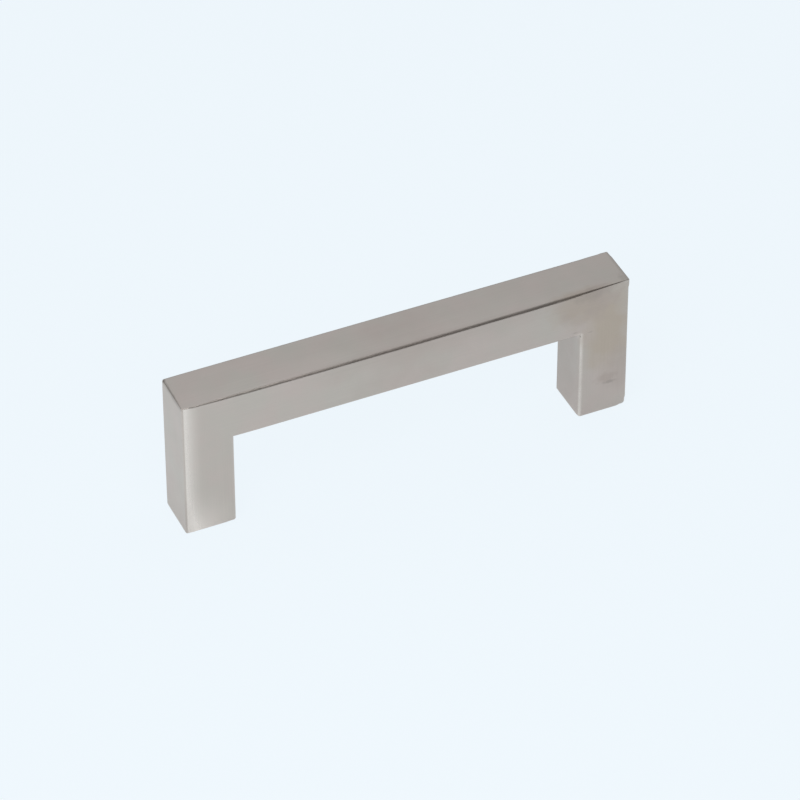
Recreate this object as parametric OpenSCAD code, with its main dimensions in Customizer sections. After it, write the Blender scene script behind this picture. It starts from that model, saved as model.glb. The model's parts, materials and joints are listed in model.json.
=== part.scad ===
// Bar handle for a drawer or a cupboard door, cast in one piece.
// A square grip bar stands off the panel on a square leg at each end.
// The screws come through the panel from behind, into a tapped hole in each foot.
// X runs along the bar, Y across it and Z away from the panel.
// The origin is midway between the feet, in the plane of the panel.

/* [Arch] */
// Distance between the centres of the two screw holes
hole_spacing = 96; // [64:32:256]
// Thickness of the bar and of each leg, seen from the front
bar_t = 12; // [10:0.5:16]
// Width of the bar and of each leg, seen from the end
bar_w = 11.5; // [10:0.5:16]
// Height of the grip face above the panel
projection = 36; // [30:1:50]

/* [Edges] */
// Radius that grinding and polishing leave on every edge
edge_r = 0.5; // [0.2:0.1:1]
// Radius of the outer corner of each foot, seen from the front
foot_r = 1; // [0.2:0.1:1.5]

/* [Screw holes] */
// Diameter of the drilled hole, before the thread is cut
drill_d = 3.3; // [2.5:0.1:5]
// Depth of the drilled hole at its full diameter
drill_depth = 14; // [8:1:20]
// Angle of the drill's point
drill_point = 118; // [90:2:140]
// Depth of the countersink at the mouth, which lets the screw start
mouth_depth = 0.4; // [0.2:0.1:0.8]

/* [Hidden] */
$fn = 96;
// Length over both legs
overall = hole_spacing + bar_t;
// Depth of the drill's point below the full diameter
point_h = drill_d / 2 / tan(drill_point / 2);
// How far a cutter runs past the face that it cuts
past = 2;
satin_nickel = [0.68, 0.66, 0.63];

// What rounding takes off a square corner at the origin
module corner_waste(r) {
    difference() {
        translate([-past, -past]) square(r + past);
        translate([r, r]) circle(r);
    }
}

// Rectangle standing on the middle of its lower side.
// Its four radii run anticlockwise from the lower left corner.
module profile(size, radii) {
    corners = [[-1, 0], [1, 0], [1, 2], [-1, 2]] / 2;
    difference() {
        translate([-size.x / 2, 0]) square(size);
        for (i = [0:3])
            translate([corners[i].x * size.x, corners[i].y * size.y])
                rotate(90 * i) corner_waste(radii[i]);
    }
}

// Square bar with rounded edges, as the three views of it leave it:
// from the front, with its own four radii, from the end and from above
module soft_bar(size, front_radii) {
    edges = [edge_r, edge_r, edge_r, edge_r];
    intersection() {
        rotate([90, 0, 0]) linear_extrude(size.y + past, center = true)
            profile([size.x, size.z], front_radii);
        rotate([90, 0, 90]) linear_extrude(size.x + past, center = true)
            profile([size.y, size.z], edges);
        translate([0, -size.y / 2, -past]) linear_extrude(size.z + 2 * past)
            profile([size.x, size.y], edges);
    }
}

// Grip bar, over the whole length
module grip() {
    translate([0, 0, projection - bar_t])
        soft_bar([overall, bar_w, bar_t], [edge_r, edge_r, edge_r, edge_r]);
}

// Leg on the right, with its outer foot corner rubbed rounder than the rest
module leg() {
    translate([hole_spacing / 2, 0, 0])
        soft_bar([bar_t, bar_w, projection], [edge_r, foot_r, edge_r, edge_r]);
}

// Drilled hole with a countersunk mouth, going up from the foot
module screw_hole() {
    rotate_extrude()
        polygon([
            [0, -past],
            [drill_d / 2 + mouth_depth + past, -past],
            [drill_d / 2, mouth_depth],
            [drill_d / 2, drill_depth],
            [0, drill_depth + point_h]
        ]);
}

module handle() {
    color(satin_nickel)
        difference() {
            union() {
                grip();
                leg();
                mirror([1, 0, 0]) leg();
            }
            for (side = [-1, 1])
                translate([side * hole_spacing / 2, 0, 0]) screw_hole();
        }
}

handle();
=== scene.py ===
# %% [markdown]
# # A square bar handle in satin nickel
#
# The handle is one casting of zinc alloy. It was ground on belts, plated with nickel,
# and brushed until its flat sides had a soft, silky sheen.
# It has no seams, no screws on show and no separate feet, so it is one piece here too.
# Everything that makes it look real is small: how each edge was rubbed, how the flat
# sides fall away a little where a polishing wheel reached them, and how the metal
# takes the light of the room.

# %% Frame and sizes
import json
import math

import bpy
import numpy as np
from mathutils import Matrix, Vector


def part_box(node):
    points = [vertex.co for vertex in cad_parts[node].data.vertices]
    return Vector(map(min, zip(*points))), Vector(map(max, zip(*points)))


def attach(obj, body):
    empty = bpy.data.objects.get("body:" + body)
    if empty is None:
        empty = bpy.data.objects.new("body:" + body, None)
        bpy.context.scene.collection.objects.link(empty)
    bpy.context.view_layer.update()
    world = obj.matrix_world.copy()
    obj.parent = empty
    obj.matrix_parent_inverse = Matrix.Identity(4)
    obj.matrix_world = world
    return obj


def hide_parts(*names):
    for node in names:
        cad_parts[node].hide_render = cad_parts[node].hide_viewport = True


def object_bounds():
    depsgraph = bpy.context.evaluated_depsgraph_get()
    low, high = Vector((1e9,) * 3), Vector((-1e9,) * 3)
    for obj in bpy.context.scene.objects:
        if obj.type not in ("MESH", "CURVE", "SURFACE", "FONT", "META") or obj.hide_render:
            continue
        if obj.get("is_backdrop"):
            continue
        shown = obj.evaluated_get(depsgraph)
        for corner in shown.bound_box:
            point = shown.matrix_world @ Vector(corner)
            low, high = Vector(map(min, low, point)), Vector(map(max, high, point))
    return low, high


MM = 0.001
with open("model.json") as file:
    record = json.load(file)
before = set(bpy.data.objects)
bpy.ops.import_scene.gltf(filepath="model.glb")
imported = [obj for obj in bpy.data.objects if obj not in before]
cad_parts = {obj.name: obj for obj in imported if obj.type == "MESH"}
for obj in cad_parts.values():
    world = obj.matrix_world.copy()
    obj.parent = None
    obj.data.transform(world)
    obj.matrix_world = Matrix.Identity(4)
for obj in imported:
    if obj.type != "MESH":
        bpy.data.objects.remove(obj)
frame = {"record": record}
cad_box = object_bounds()
low, high = (np.array(corner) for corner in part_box("handle"))
mounts = {mount["name"]: mount for mount in frame["record"]["mounts"]}
hole_x = mounts["right_screw_hole"]["pos_m"][0]
bar_t = 2 * (high[0] - hole_x)
inner_x = hole_x - bar_t / 2
under_z = high[2] - bar_t
half_w = high[1]
print(f"length {high[0] - low[0]:.4f} m, bar {bar_t:.4f} by {2 * half_w:.4f} m")
print(f"finger gap {2 * inner_x:.4f} m long and {under_z:.4f} m high")

# %% [markdown]
# ## A grid of lines over the casting
#
# The real handle is a square bar bent twice, with flat sides that run into each other
# over edges less than a millimetre round. A bevel modifier could round it, but it gives
# every edge the same kind of round, and here each edge was rubbed differently.
# So the surface starts as a sharp arch whose faces are cut by lines along X, Y and Z.
# The lines crowd together near the edges, where the shape changes within a millimetre,
# and open out over the flats, where nothing happens.

# %% Lines across a leg, close together at the edges
EDGE_BAND = bar_t / 4
EDGE_LINES = 18
# Above 1, lines crowd together towards the edge
CROWDING = 1.7
HOLE_LINES = 12


def band_lines():
    """Distances from an edge, from the edge inwards"""
    return EDGE_BAND * (np.arange(EDGE_LINES + 1) / EDGE_LINES) ** CROWDING


def hole_lines(half):
    """Lines on both sides of a hole, at equal angles as seen from its centre"""
    turn = np.linspace(-math.pi / 4, math.pi / 4, HOLE_LINES + 1)
    return half * np.tan(turn)


def lines_across(centre, half):
    """Lines over one leg: a close band, the middle where the hole is, a close band"""
    edge = half - band_lines()
    middle = hole_lines(half - EDGE_BAND)
    return centre + np.concatenate([-edge, middle[1:-1], edge[::-1]])


leg_lines = lines_across(hole_x, bar_t / 2)
y_lines = lines_across(0, half_w)
print(f"{len(leg_lines)} lines along a leg's thickness, {len(y_lines)} across its width")

# %% Lines along the bar and up the legs
SPAN_STEP = 2 * MM


def open_lines(start, end):
    """Evenly spaced lines strictly between two places"""
    count = round((end - start) / SPAN_STEP)
    return np.linspace(start, end, count + 1)[1:-1]


x_lines = np.concatenate([-leg_lines[::-1], open_lines(-inner_x, inner_x), leg_lines])
foot = band_lines()
below_top = high[2] - band_lines()[::-1]
z_lines = np.concatenate([
    foot,
    open_lines(foot[-1], under_z),
    under_z + band_lines(),
    open_lines(under_z + EDGE_BAND, below_top[0]),
    below_top,
])
print(f"grid of {len(x_lines)} by {len(y_lines)} by {len(z_lines)} lines")

# %% [markdown]
# ## The sharp arch
#
# Each cell between the lines is either metal or air. It is metal in the bar, which is
# everything above the finger gap, and in the two legs beside the gap. A face belongs to
# the surface where metal meets air. Finding faces in this way leaves no hidden faces
# inside, which a bar joined to two legs by hand easily would.

# %% Cells of metal and of air
def middles(lines):
    return (lines[1:] + lines[:-1]) / 2


x_mid, _, z_mid = np.meshgrid(
    middles(x_lines), middles(y_lines), middles(z_lines), indexing="ij"
)
metal = (z_mid > under_z) | (np.abs(x_mid) > inner_x)
print(f"{metal.sum()} cells of metal, {(~metal).sum()} of air")

# %% Faces where metal meets air
def surface_quads(metal):
    """Corner indices of each face between metal and air, in order round the outside"""
    quads = []
    padded = np.pad(metal, 1).astype(int)
    for axis in range(3):
        along, across = (axis + 1) % 3, (axis + 2) % 3
        change = np.diff(padded, axis=axis)
        for step in (-1, 1):
            corner = np.argwhere(change == step)
            corner[:, [along, across]] -= 1
            ring = [(0, 0), (1, 0), (1, 1), (0, 1)]
            if step == 1:
                ring.reverse()
            quad = np.repeat(corner[:, None, :], 4, axis=1)
            for place, (a, b) in enumerate(ring):
                quad[:, place, along] += a
                quad[:, place, across] += b
            quads.append(quad)
    return np.concatenate(quads)


quads = surface_quads(metal)
shape = (len(x_lines), len(y_lines), len(z_lines))
flat_ids = np.ravel_multi_index(tuple(np.moveaxis(quads, 2, 0)), shape)
used, faces = np.unique(flat_ids, return_inverse=True)
faces = faces.reshape(-1, 4)
i, j, k = np.unravel_index(used, shape)
sharp = np.stack([x_lines[i], y_lines[j], z_lines[k]], axis=1)
print(f"sharp arch: {len(sharp)} points, {len(faces)} faces")

# %% [markdown]
# ## Edges, each rubbed in its own way
#
# Grinding leaves about half a millimetre of round on every edge. Looked at closely,
# the real edges differ. The long front edge of the grip is crisp at both ends and
# rounder between them, most of all near the right leg, and the top sags a little beside
# it. The left leg's outer edge is crisp, and some corners are knocked well back.
# A list of short lines, with a radius at either end of each, can say all of this.
# It is easier to put right than a sculpted mesh, because each line stands for one edge.

# %% Where each edge was rubbed
left, right = low[0], high[0]
front, back = low[1], high[1]
top = high[2]
LONG_EDGE = [
    # Place along the grip's front edge, radius there, and sag of the top beside it
    (left, 0.10 * MM, 0.20 * MM),
    (left + 4 * MM, 0.38 * MM, 0.25 * MM),
    (left + 10 * MM, 0.60 * MM, 0.27 * MM),
    (-38 * MM, 0.75 * MM, 0.29 * MM),
    (-20 * MM, 0.67 * MM, 0.44 * MM),
    (5 * MM, 0.74 * MM, 0.42 * MM),
    (20 * MM, 0.78 * MM, 0.30 * MM),
    (30 * MM, 0.92 * MM, 0.25 * MM),
    (38 * MM, 0.95 * MM, 0.10 * MM),
    (44 * MM, 0.60 * MM, 0.04 * MM),
    (48 * MM, 0.46 * MM, 0.00 * MM),
    (right, 0.30 * MM, 0.00 * MM),
]
RUBBED_EDGES = [
    # Start and end of a stretch, and the radius at each
    ((x1, front, top), (x2, front, top), r1, r2)
    for (x1, r1, _), (x2, r2, _) in zip(LONG_EDGE, LONG_EDGE[1:])
]
RUBBED_EDGES += [
    # Back edge of the grip, and the short edges at its ends
    ((left + 6 * MM, back, top), (right - 8 * MM, back, top), 0.50 * MM, 0.60 * MM),
    ((left, front, top), (left, 1 * MM, top), 0.26 * MM, 0.46 * MM),
    ((left, 1 * MM, top), (left, 4 * MM, top), 0.46 * MM, 0.72 * MM),
    ((left, 4 * MM, top), (left, back, top), 0.72 * MM, 0.55 * MM),
    ((right, front, top), (right, back, top), 0.15 * MM, 0.15 * MM),
    # Outer edge of the left leg, and the inner edges of both legs
    ((left, front, 0), (left, front, top), 0.2 * MM, 0.2 * MM),
    ((-inner_x, front, 0), (-inner_x, front, under_z), 0.65 * MM, 0.65 * MM),
    ((inner_x, front, 0), (inner_x, front, under_z), 0.5 * MM, 0.5 * MM),
    # Corners
    ((right, back, top), (right, back, top), 0.4 * MM, 0.4 * MM),
    ((left, front, 0), (left, front, 0), 0.45 * MM, 0.45 * MM),
    ((left, back, 0), (left, back, 0), 0.6 * MM, 0.6 * MM),
    ((right, front, 0), (right, front, 0), 0.9 * MM, 0.9 * MM),
    ((right, back, 0), (right, back, 0), 0.8 * MM, 0.8 * MM),
]
print(f"{len(RUBBED_EDGES)} stretches of edge with a radius of their own")

# %% Radius of the edges from place to place
EDGE_R = 0.5 * MM
RUB_REACH = 2.5 * MM


def smooth(share):
    """Goes from 0 to 1 with a soft start and a soft end"""
    share = np.clip(share, 0, 1)
    return share * share * (3 - 2 * share)


def edge_radius(points):
    """The usual radius, turned into a stretch's own radius close to that stretch"""
    radius = np.full(len(points), EDGE_R)
    for start, end, r_start, r_end in RUBBED_EDGES:
        start, run = np.array(start), np.array(end) - np.array(start)
        share = np.clip((points - start) @ run / max(run @ run, MM ** 4), 0, 1)
        away = np.linalg.norm(points - start - share[:, None] * run, axis=1)
        # Whole within half the reach, and nothing beyond it
        weight = smooth(2 - 2 * away / RUB_REACH)
        radius += weight * (r_start + share * (r_end - r_start) - radius)
    return radius


radius = edge_radius(sharp)
print(f"edge radius from {radius.min() / MM:.2f} to {radius.max() / MM:.2f} mm")

# %% [markdown]
# ## Rolling a ball along the inside
#
# Imagine a ball of the edge's radius pressed into each edge from inside. Its centre
# stays within the bar or within a leg, and the surface is what its skin touches.
# Each point of the sharp arch is pulled onto that ball. The flats stay where they are,
# edges turn round, and the two inside corners of the finger gap stay crisp, as they
# are on the real handle.

# %% Round the edges
SOLID_BOXES = [
    ((left, front, under_z), (right, back, top)),
    ((left, front, 0), (-inner_x, back, top)),
    ((inner_x, front, 0), (right, back, top)),
]
TINY = 1e-9


def rounded(points, radius):
    """Points of the sharp arch, each pulled onto its ball"""
    r = radius[:, None]
    moves, distances = [], []
    for box_low, box_high in SOLID_BOXES:
        centre = np.clip(points, np.array(box_low) + r, np.array(box_high) - r)
        spoke = points - centre
        distance = np.linalg.norm(spoke, axis=1)[:, None]
        moves.append(centre + r * spoke / np.maximum(distance, TINY) - points)
        distances.append(distance)
    moves, distances = np.array(moves), np.array(distances)
    nearest = distances <= distances.min(axis=0) + TINY
    moves = np.where(nearest, moves, 0)
    return points + moves.max(axis=0) + moves.min(axis=0)


points = rounded(sharp, radius)
print(f"the deepest rounding moves a point {np.abs(points - sharp).max() / MM:.2f} mm")

# %% [markdown]
# ## Sides that fall away
#
# A polishing wheel is soft, so it takes more off where a flat side runs out. On this
# handle the front curves back over its last few millimetres at the left, which, with a
# highlight painted into the colour there, is why that edge is so bright, and more widely
# at the right. The top sags along its front edge, and the front leans in just under it.
# A sculpting brush could do this by hand, but a few falling curves give the same result
# each time. They only push inwards, so the handle never grows past the casting's own size.

# %% Buff the flats down near some edges
# Each roll has a depth at the edge and a reach. The brow is a share of the sag
LEFT_ROLL = (0.15 * MM, 3.5 * MM)
RIGHT_ROLL = (0.35 * MM, 16 * MM)
RIGHT_END_ROLL = (0.06 * MM, 0.9 * MM)
INNER_LEG_ROLL = (0.25 * MM, 1.8 * MM)
SAG_REACH = 6 * MM
BROW_SHARE = 0.25
BROW_REACH = 1.2 * MM
GAP_FADE = 2 * MM


def falling(distance, reach):
    """1 at an edge, fading like a shallow curve to 0 at the reach"""
    return np.clip(1 - distance / reach, 0, 1) ** 2


def roll(distance, depth_and_reach):
    """How far a side falls back at some distance from its edge"""
    depth, reach = depth_and_reach
    return depth * falling(distance, reach)


def buffed(points):
    x, y, z = points.T
    frontness = smooth((half_w - y) / (2 * half_w))
    topness = smooth((z - under_z) / (top - under_z))
    places, _, sags = zip(*LONG_EDGE)
    sag_here = np.interp(x, places, sags)
    sag = sag_here * falling(y - front, SAG_REACH)
    brow = BROW_SHARE * sag_here * falling(top - z, BROW_REACH)
    right_leg = smooth((right - x) / bar_t) * (x > inner_x - TINY)
    below_gap = smooth((under_z - z) / GAP_FADE)
    moved = points.copy()
    moved[:, 0] += roll(y - front, INNER_LEG_ROLL) * below_gap * right_leg
    moved[:, 1] += frontness * (roll(x - left, LEFT_ROLL) + brow)
    moved[:, 1] += frontness * roll(right - x, RIGHT_ROLL) * smooth(z / top)
    moved[:, 2] -= topness * (roll(right - x, RIGHT_END_ROLL) + sag)
    return moved


unbuffed = points
points = buffed(points)
deepest = np.abs(points - unbuffed).max()
print(f"buffing pushes a point in by up to {deepest / MM:.2f} mm")

# %% [markdown]
# ## A tapped hole in each foot
#
# The screws come from behind the drawer front, so each foot has a blind hole that was
# drilled, countersunk a little and tapped. A boolean cut could make it, but it would
# leave ragged faces round the thread. Here the hole is a stack of rings, joined to the
# grid round its mouth. A ring's radius is the drill's, plus the thread's groove, and
# the groove climbs by one pitch in each turn. Near its end the groove fades out, as a
# tap leaves it, and the drill's own point closes the hole.

# %% Rings of a hole, from the mouth to the drill's point
DRILL_R = mounts["right_screw_hole"]["dims"]["r_mm"] * MM
MOUTH_DEPTH = 0.4 * MM
DRILL_DEPTH = mounts["right_screw_hole"]["dims"]["length_mm"] * MM + MOUTH_DEPTH
DRILL_POINT = math.radians(118)
PITCH = 0.7 * MM
GROOVE = 0.35 * MM
THREAD_END = 12 * MM
RINGS_PER_PITCH = 10


def groove_depth(z, angle):
    fade = smooth(z / PITCH) * smooth((THREAD_END - z) / (2 * PITCH))
    turn = 2 * math.pi * z / PITCH - angle
    return GROOVE * fade * (0.5 - 0.5 * np.cos(turn))


def hole_rings(angle):
    """Height and radius of each ring, for the angles of the points on it"""
    heights = np.arange(0, THREAD_END, PITCH / RINGS_PER_PITCH)
    rings = []
    for z in [*heights, THREAD_END, DRILL_DEPTH]:
        mouth = DRILL_R + max(MOUTH_DEPTH - z, 0)
        rings.append((z, np.maximum(mouth, DRILL_R + groove_depth(z, angle))))
    return rings


print(f"{len(hole_rings(np.zeros(1)))} rings in a hole {DRILL_DEPTH / MM:.1f} mm deep")

# %% Open a window in each foot
def in_foot_window(places, centre_x):
    """Which places lie where the hole goes through the foot"""
    inside_x = np.abs(places[:, 0] - centre_x) < bar_t / 2 - EDGE_BAND
    inside_y = np.abs(places[:, 1]) < half_w - EDGE_BAND
    return inside_x & inside_y & (places[:, 2] < TINY)


quad_middles = sharp[faces].mean(axis=1)
opened = in_foot_window(quad_middles, -hole_x) | in_foot_window(quad_middles, hole_x)
print(f"{opened.sum()} faces make way for the two holes")

# %% Join the rings to the grid round each window
def window_border(centre_x):
    """Points round the window, in order, and their angles seen from the hole's centre"""
    x = (sharp[:, 0] - centre_x) / (bar_t / 2 - EDGE_BAND)
    y = sharp[:, 1] / (half_w - EDGE_BAND)
    on_border = np.abs(np.maximum(np.abs(x), np.abs(y)) - 1) < TINY / MM
    border = np.flatnonzero(on_border & (sharp[:, 2] < TINY))
    angle = np.arctan2(sharp[border, 1], sharp[border, 0] - centre_x)
    order = np.argsort(angle)
    return border[order], angle[order]


def drilled_hole(centre_x, first):
    """Points and faces of one hole; the first point gets the number given"""
    border, angle = window_border(centre_x)
    around = np.stack([np.cos(angle), np.sin(angle), 0 * angle], axis=1)
    rings = hole_rings(angle)
    hole_points = [around * r[:, None] + (centre_x, 0, z) for z, r in rings]
    tip_z = DRILL_DEPTH + DRILL_R / math.tan(DRILL_POINT / 2)
    hole_points.append([(centre_x, 0, tip_z)])
    count = len(border)
    rows = [border] + [first + n * count + np.arange(count) for n in range(len(rings))]
    hole_faces = []
    for lower, upper in zip(rows, rows[1:]):
        hole_faces += zip(upper, np.roll(upper, -1), np.roll(lower, -1), lower)
    tip = np.full(count, first + len(rings) * count)
    hole_faces += zip(tip, np.roll(rows[-1], -1), rows[-1])
    return np.concatenate(hole_points), hole_faces


all_faces = faces[~opened].tolist()
for centre_x in (-hole_x, hole_x):
    hole_points, hole_faces = drilled_hole(centre_x, len(points))
    points = np.concatenate([points, hole_points])
    all_faces += hole_faces
print(f"two tapped holes, {len(points)} points in all")

# %% [markdown]
# ## One mesh in place of the plain solid
#
# Points inside the windows no longer carry a face, so they are dropped. The casting is
# shaded smooth, because its rounded edges have faces enough of their own, apart from
# edges that turn by more than 40 degrees, such as the inside corners of the gap.
# The plain solid is hidden, and the new mesh takes its place and moves with the root body.

# %% Make the handle
SHARP_TURN = math.radians(40)

carried = np.unique(np.concatenate([np.ravel(face) for face in all_faces]))
renumber = np.zeros(len(points), int)
renumber[carried] = np.arange(len(carried))
mesh = bpy.data.meshes.new("bar_handle")
mesh.from_pydata(points[carried], [], [renumber[list(face)] for face in all_faces])
mesh.validate()
mesh.shade_smooth()
mesh.set_sharp_from_angle(angle=SHARP_TURN)
handle = bpy.data.objects.new("bar_handle", mesh)
bpy.context.collection.objects.link(handle)
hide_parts("handle")
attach(handle, "root")
triangles = sum(len(face.vertices) - 2 for face in mesh.polygons)
print(f"handle of {len(mesh.vertices)} points and {triangles} triangles")

# %% [markdown]
# ## Notes for the finish, kept on the points
#
# Two things about the finish follow the shape. A painted mask could hold them, but they
# can be worked out from the mesh, and kept on its points for the material to read.
# One is how bright the metal is. It is 0 on a flat side, and a quarter where the
# surface leans 45 degrees, halfway round an edge, where rubbing brightened it. It goes up
# to 1 at a few places where a highlight is painted into the colour in place of a bright
# reflection. The other says which way the metal was brushed: along the grip, or up
# and down the legs.

# %% How brightly the metal is rubbed, and where a highlight is painted
FRONT_SIDE = (0, -1, 0)
INNER_CORNER = (-0.55, -0.835, 0)
# Painted highlights: a brighter colour where the reflections are bright, on the left leg's front and
# foot and along the right leg's inner edge
PAINTED_HIGHLIGHTS = [
    # Start, end, reach, most, and the side that it faces.
    # Front of the left leg beside its outer edge, and its foot
    ((left, front, top), (left, front, 0), 4.9 * MM, 1.36, FRONT_SIDE),
    ((left, front, 0), (left + 2 * MM, front, 0), 13 * MM, 0.98, FRONT_SIDE),
    # Inner edge of the right leg
    ((inner_x, front, under_z), (inner_x, front, 0), 1.1 * MM, 2.0, INNER_CORNER),
]
# The last sliver at the left end, which is left without the painted highlight
DULL_RIM = 0.36 * MM
# Cosine of the angle to that side at which a point begins to count, and how much
# more it takes to count fully
FACING_FROM = 0.5
FACING_FADE = 0.4


def painted_highlights(places, normals):
    """From 0 to 1 where a highlight is painted by the edges, never on the dull rim at the left end
    """
    painted = np.zeros(len(places))
    for start, end, reach, most, facing in PAINTED_HIGHLIGHTS:
        start, run = np.array(start), np.array(end) - np.array(start)
        share = np.clip((places - start) @ run / (run @ run), 0, 1)
        away = np.linalg.norm(places - start - share[:, None] * run, axis=1)
        faces_it = smooth((normals @ np.array(facing) - FACING_FROM) / FACING_FADE)
        painted += most * falling(away, reach) * faces_it
    return np.clip(painted, 0, 1) * smooth((places[:, 0] - left) / DULL_RIM - 0.5)


places = points[carried]
normals = np.array([vertex.normal[:] for vertex in mesh.vertices])
bright = painted_highlights(places, normals)
print(f"{np.mean(bright > 0.5):.1%} of the points are worn bright")

# %% Keep the rubbing with its painted highlights, and the direction of brushing, on the points
EDGE_SHINE = 0.25
HALFWAY_ROUND = math.pi / 4
TURN_ABOVE_GAP = 5 * MM
TURN_LENGTH = 6 * MM


def keep(name, values):
    attribute = mesh.attributes.new(name, "FLOAT", "POINT")
    attribute.data.foreach_set("value", values.astype(np.float32))
    print(f"{name}: from {values.min():.2f} to {values.max():.2f}, mean {values.mean():.3f}")


lean = np.arccos(np.clip(np.abs(normals).max(axis=1), 0, 1))
beside_gap = smooth((np.abs(places[:, 0]) - inner_x) / GAP_FADE + 0.5)
below_grip = smooth((under_z + TURN_ABOVE_GAP - places[:, 2]) / TURN_LENGTH)
# Rubbing brightens every rounded edge a little, and the painted highlights come on top
keep("rubbed", np.maximum(EDGE_SHINE * lean / HALFWAY_ROUND, bright))
keep("leg_brushing", beside_gap * below_grip)

# %% [markdown]
# ## Satin nickel
#
# Nickel is a warm grey metal. Brushing covers it with lines finer than a hair, too fine
# to see from a step away, so what shows is a soft sheen: a reflection that keeps the
# light and dark of the room but none of its outlines. A metal shader with a middling
# roughness gives that sheen. On top of it go the fine lines, a slow drift of colour and
# roughness from the plating, edges polished brighter by rubbing, and the faint stains
# and small dark marks of a used handle. Light and shade are painted into the colour too:
# highlights on a few edges, shade from the left end to the right, shade in the inner
# corner, on the right leg's inner side and at the left end's foot, and dark reflections
# along some edges. A painted texture could carry all these. Noise in the handle's own
# space is simpler: it runs on round the edges without any seams.

# %% Start the satin nickel with what the mesh tells it
def add(tree, kind, sockets=(), **settings):
    """A shader node. A plain value fills a socket, and another node's output is joined to it"""
    made = tree.nodes.new(kind)
    for name, value in settings.items():
        setattr(made, name, value)
    for name, value in dict(sockets).items():
        if isinstance(value, bpy.types.NodeSocket):
            tree.links.new(value, made.inputs[name])
        else:
            made.inputs[name].default_value = value
    return made


def empty_material(name):
    material = bpy.data.materials.new(name)
    material.use_nodes = True
    material.node_tree.nodes.clear()
    return material


satin_nickel = empty_material("satin_nickel")
nickel = satin_nickel.node_tree
place = add(nickel, "ShaderNodeTexCoord").outputs["Object"]
rubbed = add(nickel, "ShaderNodeAttribute", attribute_name="rubbed").outputs["Fac"]
leg_share = add(nickel, "ShaderNodeAttribute", attribute_name="leg_brushing").outputs["Fac"]
print(f"satin nickel starts from the place on the handle and {len(nickel.nodes) - 1} attributes")

# %% Fine lines of brushing
LINE_LENGTH = 25 * MM
LINE_WIDTH = 0.14 * MM
ALONG_X, ALONG_Z = 0, 2


def math_of(tree, operation, first, second):
    made = add(tree, "ShaderNodeMath", {0: first, 1: second}, operation=operation)
    return made.outputs[0]


def brushing(direction):
    """Noise drawn out into lines along one direction"""
    scale = [1 / LINE_WIDTH] * 3
    scale[direction] = 1 / LINE_LENGTH
    drawn = add(nickel, "ShaderNodeMapping", {"Vector": place, "Scale": scale})
    noise = add(nickel, "ShaderNodeTexNoise", {
        "Vector": drawn.outputs["Vector"], "Scale": 1.0, "Detail": 3.0, "Roughness": 0.6,
    })
    return noise.outputs[0]


grip_share = math_of(nickel, "SUBTRACT", 1.0, leg_share)
grip_brushing = math_of(nickel, "MULTIPLY", brushing(ALONG_X), grip_share)
leg_brushing = math_of(nickel, "MULTIPLY", brushing(ALONG_Z), leg_share)
lines = math_of(nickel, "ADD", grip_brushing, leg_brushing)
print(f"brushed lines {LINE_LENGTH / MM:.0f} mm long and {LINE_WIDTH / MM:.2f} mm wide")

# %% Colour of the plating, and of rubbed metal with its painted highlights
ROSY_NICKEL = (0.556, 0.484, 0.444, 1)
GREEN_NICKEL = (0.535, 0.489, 0.442, 1)
# Brighter colour of rubbed edges, which also carries the painted highlights
RUBBED_AND_HIGHLIGHT_NICKEL = (0.788, 0.722, 0.665, 1)
PATCH_SIZE = 9 * MM
PATCH_RANGE = (0.35, 0.65)


def ranged(tree, value, from_low, from_high, to_low=0.0, to_high=1.0):
    """A value stretched from one range to another, and held at the ends"""
    made = add(tree, "ShaderNodeMapRange", {
        "Value": value, "From Min": from_low, "From Max": from_high,
        "To Min": to_low, "To Max": to_high,
    })
    return made.outputs["Result"]


def blended(tree, factor, first, second):
    """One colour turning into another"""
    made = add(tree, "ShaderNodeMix", {0: factor, 6: first, 7: second}, data_type="RGBA")
    return made.outputs[2]


def drift(size, detail=2.0):
    """Soft noise whose patches are about this size"""
    noise = add(nickel, "ShaderNodeTexNoise", {
        "Vector": place, "Scale": 1 / size, "Detail": detail, "Roughness": 0.5,
    })
    return noise.outputs[0]


greenness = ranged(nickel, drift(PATCH_SIZE), *PATCH_RANGE)
colour = blended(nickel, greenness, ROSY_NICKEL, GREEN_NICKEL)
colour = blended(nickel, rubbed, colour, RUBBED_AND_HIGHLIGHT_NICKEL)
print(f"patches of plating about {PATCH_SIZE / MM:.0f} mm across")

# %% Faint stains and small marks, with painted shade and painted dark reflections
TARNISH = (0.504, 0.427, 0.354, 1)
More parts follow.
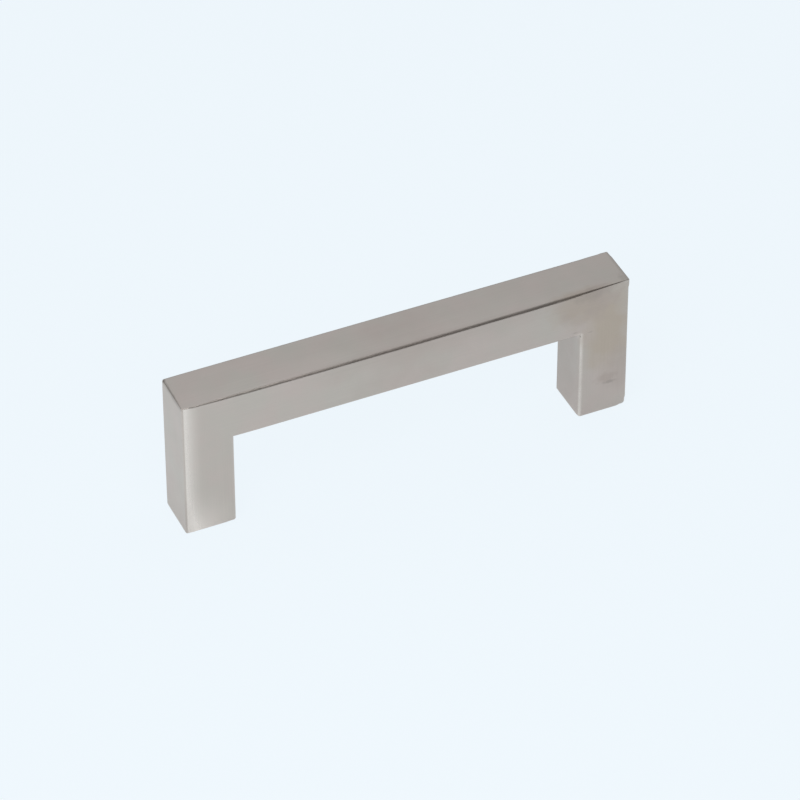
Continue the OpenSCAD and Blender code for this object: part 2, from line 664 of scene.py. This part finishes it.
# The brown and dark colours serve real smudges and marks, and also painted shade and painted dark
# reflections
BROWN_SMUDGE_AND_SHADE = (0.465, 0.392, 0.352, 1)
DARK_MARK_AND_SHADE = (0.330, 0.290, 0.260, 1)
MARKS_AND_PAINTED_SHADE = [
    # Centre, then reach along X, Y and Z, both in millimetres, strength and colour
    ((48.5, -5.7, 24), (7, 3, 13), 0.9, TARNISH),
    ((43.5, -5.7, 33), (8, 1.5, 6), 0.8, BROWN_SMUDGE_AND_SHADE),
    ((41, -5.7, 33.5), (7, 2, 6), 0.6, TARNISH),
    ((44.5, -5.7, 35), (5, 1.2, 1.8), 0.4, DARK_MARK_AND_SHADE),
    ((8, -5.7, 35.5), (38, 1.5, 5), 0.35, BROWN_SMUDGE_AND_SHADE),
    ((-1, -2, 32), (14, 9, 11), 0.28, BROWN_SMUDGE_AND_SHADE),
    # Painted shade at the foot of the left end, darker towards the floor
    ((-54, 0, 2), (2, 10, 9), 0.22, BROWN_SMUDGE_AND_SHADE),
    # Painted shade over the inner side of the right leg
    ((42, 3, 11), (1, 8, 19), 0.5, BROWN_SMUDGE_AND_SHADE),
    ((53, -5.7, 11.5), (5, 3, 8), 0.42, BROWN_SMUDGE_AND_SHADE),
    ((48.9, -5.7, 9.6), (2.7, 1, 1.6), 0.75, BROWN_SMUDGE_AND_SHADE),
    ((49.6, -5.7, 8.1), (1.7, 1, 0.5), 0.5, DARK_MARK_AND_SHADE),
    # Painted shade in the inner corner where the grip meets the right leg
    ((41.9, -5.6, 23.5), (0.35, 0.5, 0.4), 0.9, DARK_MARK_AND_SHADE),
    ((44.4, -5.7, 24.2), (0.7, 1, 0.2), 0.4, DARK_MARK_AND_SHADE),
    ((40.6, -5.7, 25.2), (0.7, 1, 0.2), 0.4, DARK_MARK_AND_SHADE),
    # Painted dark reflection along the top edge of the left end
    ((-54, -1.2, 35.5), (0.5, 5.5, 0.7), 0.65, DARK_MARK_AND_SHADE),
    ((-54, 0, 22), (1, 9, 24), 0.12, TARNISH),
    # Painted dark reflections along the left leg's outer edge, at the left end's back top corner,
    # and along the right end's top edges
    ((-54, -5.7, 3), (0.4, 0.4, 7), 0.25, DARK_MARK_AND_SHADE),
    ((-54, 5.0, 36), (0.6, 0.6, 0.6), 0.9, DARK_MARK_AND_SHADE),
    ((53.7, 0, 36), (0.5, 7, 0.4), 0.3, DARK_MARK_AND_SHADE),
    ((52.8, -4.4, 36), (1.0, 1.8, 0.4), 0.3, DARK_MARK_AND_SHADE),
]
NOISE_LOW, NOISE_HIGH = 0.3, 0.7
WHOLE_WITHIN, GONE_BEYOND = 0.4, 1.2
RAGGED_BY = 0.3
RAG_SIZE = 0.4
RAG_DETAIL = 4.0


def mark(centre, reach):
    """1 in the middle of a mark, 0 outside its reach, with a ragged border between"""
    apart = add(nickel, "ShaderNodeVectorMath", {0: place, 1: centre}, operation="SUBTRACT")
    shares = add(nickel, "ShaderNodeVectorMath", {0: apart.outputs[0], 1: reach}, operation="DIVIDE")
    away = add(nickel, "ShaderNodeVectorMath", {0: shares.outputs[0]}, operation="LENGTH")
    rags = drift(RAG_SIZE * max(reach), RAG_DETAIL)
    torn_by = ranged(nickel, rags, NOISE_LOW, NOISE_HIGH, -RAGGED_BY, RAGGED_BY)
    torn = math_of(nickel, "ADD", away.outputs["Value"], torn_by)
    return ranged(nickel, torn, WHOLE_WITHIN, GONE_BEYOND, 1.0, 0.0)


for centre, reach, strength, tint in MARKS_AND_PAINTED_SHADE:
    covered = mark(np.array(centre) * MM, np.array(reach) * MM)
    colour = blended(nickel, math_of(nickel, "MULTIPLY", covered, strength), colour, tint)
print(f"{len(MARKS_AND_PAINTED_SHADE)} stains and marks")

# %% Painted shade from end to end, and shade of the brushed lines
# Painted shade: the colour is made paler at the left end and darker at the right, standing in for
# light that falls off along the handle
LEFT_SHADE, RIGHT_SHADE = 1.045, 0.968
DARK_LINE, PALE_LINE = 0.975, 1.025

along = add(nickel, "ShaderNodeSeparateXYZ", {0: place}).outputs["X"]
painted_end_shade = ranged(nickel, along, left, right, LEFT_SHADE, RIGHT_SHADE)
line_shade = ranged(nickel, lines, NOISE_LOW, NOISE_HIGH, DARK_LINE, PALE_LINE)
shade = math_of(nickel, "MULTIPLY", painted_end_shade, line_shade)
shaded = add(nickel, "ShaderNodeVectorMath", {0: colour, 1: shade}, operation="MULTIPLY")
print(f"{LEFT_SHADE / RIGHT_SHADE - 1:.1%} paler at the left end than at the right")

# %% Roughness, waves and scratches make it metal
CLOUD_SIZE = 5 * MM
SMOOTHER, ROUGHER = 0.31, 0.36
SMOOTHED_BY_RUBBING = 0.08
WAVE_HEIGHT = 0.006 * MM
SCRATCH_HEIGHT = 0.0016 * MM

cloud = drift(CLOUD_SIZE)
uneven = ranged(nickel, cloud, NOISE_LOW, NOISE_HIGH, SMOOTHER, ROUGHER)
smoothing = math_of(nickel, "MULTIPLY", rubbed, SMOOTHED_BY_RUBBING)
roughness = math_of(nickel, "SUBTRACT", uneven, smoothing)
waves = add(nickel, "ShaderNodeBump", {
    "Height": cloud, "Strength": 1.0, "Distance": WAVE_HEIGHT,
})
scratches = add(nickel, "ShaderNodeBump", {
    "Height": lines, "Strength": 1.0, "Distance": SCRATCH_HEIGHT,
    "Normal": waves.outputs["Normal"],
})
brushed_metal = add(nickel, "ShaderNodeBsdfPrincipled", {
    "Base Color": shaded.outputs[0], "Metallic": 1.0, "Roughness": roughness,
    "Normal": scratches.outputs["Normal"],
})
add(nickel, "ShaderNodeOutputMaterial", {"Surface": brushed_metal.outputs["BSDF"]})
mesh.materials.append(satin_nickel)
print(f"satin nickel: {len(nickel.nodes)} nodes")

# %% [markdown]
# ## A pale floor
#
# The handle stands on its feet on a wide, very pale blue floor that fills the picture.
# A floor that is only painted would pick up every uneven patch of light. So to the
# camera, and in reflections, part of it glows evenly in its own colour, and the rest
# is paint, which takes the handle's soft shadow. It lies a hair below the feet, because
# two faces at the same height would show through each other in specks.

# %% Paint and glow of the floor
PALE_BLUE = (0.876, 0.948, 1.0, 1)
FLOOR_PAINT = (0.91, 0.92, 0.92, 1)
GLOW_SEEN = 0.93
GLOW_REFLECTED = 0.67

pale_floor = empty_material("pale_floor")
ground = pale_floor.node_tree
paint = add(ground, "ShaderNodeBsdfDiffuse", {"Color": FLOOR_PAINT}).outputs["BSDF"]
glow = add(ground, "ShaderNodeEmission", {"Color": PALE_BLUE, "Strength": 1.0}).outputs["Emission"]
rays = add(ground, "ShaderNodeLightPath").outputs
mirrored = math_of(ground, "MAXIMUM", rays["Is Glossy Ray"], rays["Is Transmission Ray"])
glow_seen = math_of(ground, "MULTIPLY", rays["Is Camera Ray"], GLOW_SEEN)
glow_reflected = math_of(ground, "MULTIPLY", mirrored, GLOW_REFLECTED)
glow_share = math_of(ground, "MAXIMUM", glow_seen, glow_reflected)
mixed = add(ground, "ShaderNodeMixShader", {0: glow_share, 1: paint, 2: glow})
add(ground, "ShaderNodeOutputMaterial", {"Surface": mixed.outputs["Shader"]})
print(f"the floor glows by {GLOW_SEEN:.0%} as seen, and by {GLOW_REFLECTED:.0%} in the metal")

# %% Lay the floor
FLOOR_RADIUS = 4.0
RIM_POINTS = 96
UNDER_FEET = 0.02 * MM

ground_z = low[2] - UNDER_FEET
turns = np.linspace(0, 2 * math.pi, RIM_POINTS, endpoint=False)
rim = [(FLOOR_RADIUS * math.cos(turn), FLOOR_RADIUS * math.sin(turn), ground_z) for turn in turns]
floor_mesh = bpy.data.meshes.new("floor")
floor_mesh.from_pydata(rim, [], [range(len(rim))])
floor_mesh.materials.append(pale_floor)
floor = bpy.data.objects.new("floor", floor_mesh)
bpy.context.collection.objects.link(floor)
floor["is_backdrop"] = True
print(f"floor {2 * FLOOR_RADIUS} m across, {UNDER_FEET / MM} mm under the feet")

# %% [markdown]
# ## The room and its lights
#
# Metal shows what is around it, so a satin handle is lit by deciding what each side
# should mirror. Seen from here, the grip's top mirrors what is above and behind, its
# front mirrors the floor, and the thin edge between them mirrors the front of the room.
# A wide softbox behind fills the top with an even grey. The room in front is dim, and
# that is what draws the dark line along the front edge. A smaller key light at the
# front left lights the floor and puts a glint on the near corner.

# %% The dim room
WALLS = (0.22, 0.23, 0.232, 1)
CEILING = (0.535, 0.562, 0.585, 1)
CEILING_RANGE = (0.12, 0.56)
DARK_FRONT = (0.13, 0.13, 0.13, 1)
FRONT_DIRECTION = (0.36, -0.90, 0.25)
FRONT_RANGE = (0.45, 0.75)

world = bpy.data.worlds.new("room")
bpy.context.scene.world = world
world.use_nodes = True
room = world.node_tree
room.nodes.clear()
direction = add(room, "ShaderNodeTexCoord").outputs["Generated"]
upwards = add(room, "ShaderNodeSeparateXYZ", {0: direction}).outputs["Z"]
room_colour = blended(room, ranged(room, upwards, *CEILING_RANGE), WALLS, CEILING)
facing = {0: direction, 1: FRONT_DIRECTION}
towards_front = add(room, "ShaderNodeVectorMath", facing, operation="DOT_PRODUCT")
dimming = ranged(room, towards_front.outputs["Value"], *FRONT_RANGE)
room_colour = blended(room, dimming, room_colour, DARK_FRONT)
rays = add(room, "ShaderNodeLightPath").outputs
shown = blended(room, rays["Is Camera Ray"], room_colour, PALE_BLUE)
background = add(room, "ShaderNodeBackground", {"Color": shown, "Strength": 1.0})
add(room, "ShaderNodeOutputWorld", {"Surface": background.outputs["Background"]})
print(f"the dark front is {DARK_FRONT[1] / CEILING[1]:.0%} as bright as the ceiling")

# %% The softboxes
NEUTRAL = (1, 1, 1)
COOL = (0.94, 0.98, 1.0)


def softbox(name, turn, height, distance, width, depth, glow, colour):
    """A soft lamp facing the handle. Turn and height are degrees, and a turn of 0 is at +X"""
    light = bpy.data.lights.new(name, "AREA")
    light.shape = "RECTANGLE"
    light.size = width
    light.size_y = depth
    light.energy = glow * math.pi * width * depth
    light.color = colour
    lamp = bpy.data.objects.new(name, light)
    a, e = math.radians(turn), math.radians(height)
    way = np.array([math.cos(a) * math.cos(e), math.sin(a) * math.cos(e), math.sin(e)])
    lamp.location = way * distance
    lamp.rotation_mode = "QUATERNION"
    lamp.rotation_quaternion = lamp.location.to_track_quat("Z", "Y")
    lamp.visible_camera = False
    bpy.context.collection.objects.link(lamp)
    print(f"{name}: {light.energy:.2f} W, {distance} m away")


softbox(
    "back_softbox", turn=50, height=50, distance=1.1,
    width=1.3, depth=1.3, glow=0.18, colour=COOL,
)
softbox(
    "key_softbox", turn=-122, height=50, distance=0.34,
    width=0.26, depth=0.26, glow=2.2, colour=NEUTRAL,
)

# %% [markdown]
# ## The camera
#
# The picture was taken from the front left and from above, through a long lens, so the
# handle's edges hardly run together with distance. Turn and tilt are seen from the
# point that the camera looks at, near the middle of the handle.

# %% Place the camera
CAMERA_TURN = math.radians(24.57)
CAMERA_TILT = math.radians(39.98)
CAMERA_DISTANCE = 1.0255
LENS = 207.4
SENSOR_WIDTH = 36
AIM = np.array([0.27, 0, 15.43]) * MM

camera_data = bpy.data.cameras.new("camera")
camera_data.lens = LENS
camera_data.sensor_width = SENSOR_WIDTH
camera = bpy.data.objects.new("camera", camera_data)
to_camera = np.array([
    -math.sin(CAMERA_TURN) * math.cos(CAMERA_TILT),
    -math.cos(CAMERA_TURN) * math.cos(CAMERA_TILT),
    math.sin(CAMERA_TILT),
])
camera.location = AIM + CAMERA_DISTANCE * to_camera
camera.rotation_mode = "QUATERNION"
camera.rotation_quaternion = (camera.location - Vector(AIM)).to_track_quat("Z", "Y")
bpy.context.collection.objects.link(camera)
bpy.context.scene.camera = camera
bpy.context.scene.view_settings.view_transform = "Standard"
print(f"camera {CAMERA_DISTANCE} m away, lens {LENS} mm")

# %% [markdown]
# ## Sizes, side by side
#
# The handle must be no larger than the solid that it stands for. Both boxes are printed,
# so that they can be compared after each change.

# %% Print both boxes and finish
boxes = {"cad": cad_box, "visual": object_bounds()}
for name, box in boxes.items():
    print(name, [[round(value / MM, 2) for value in corner] for corner in box])
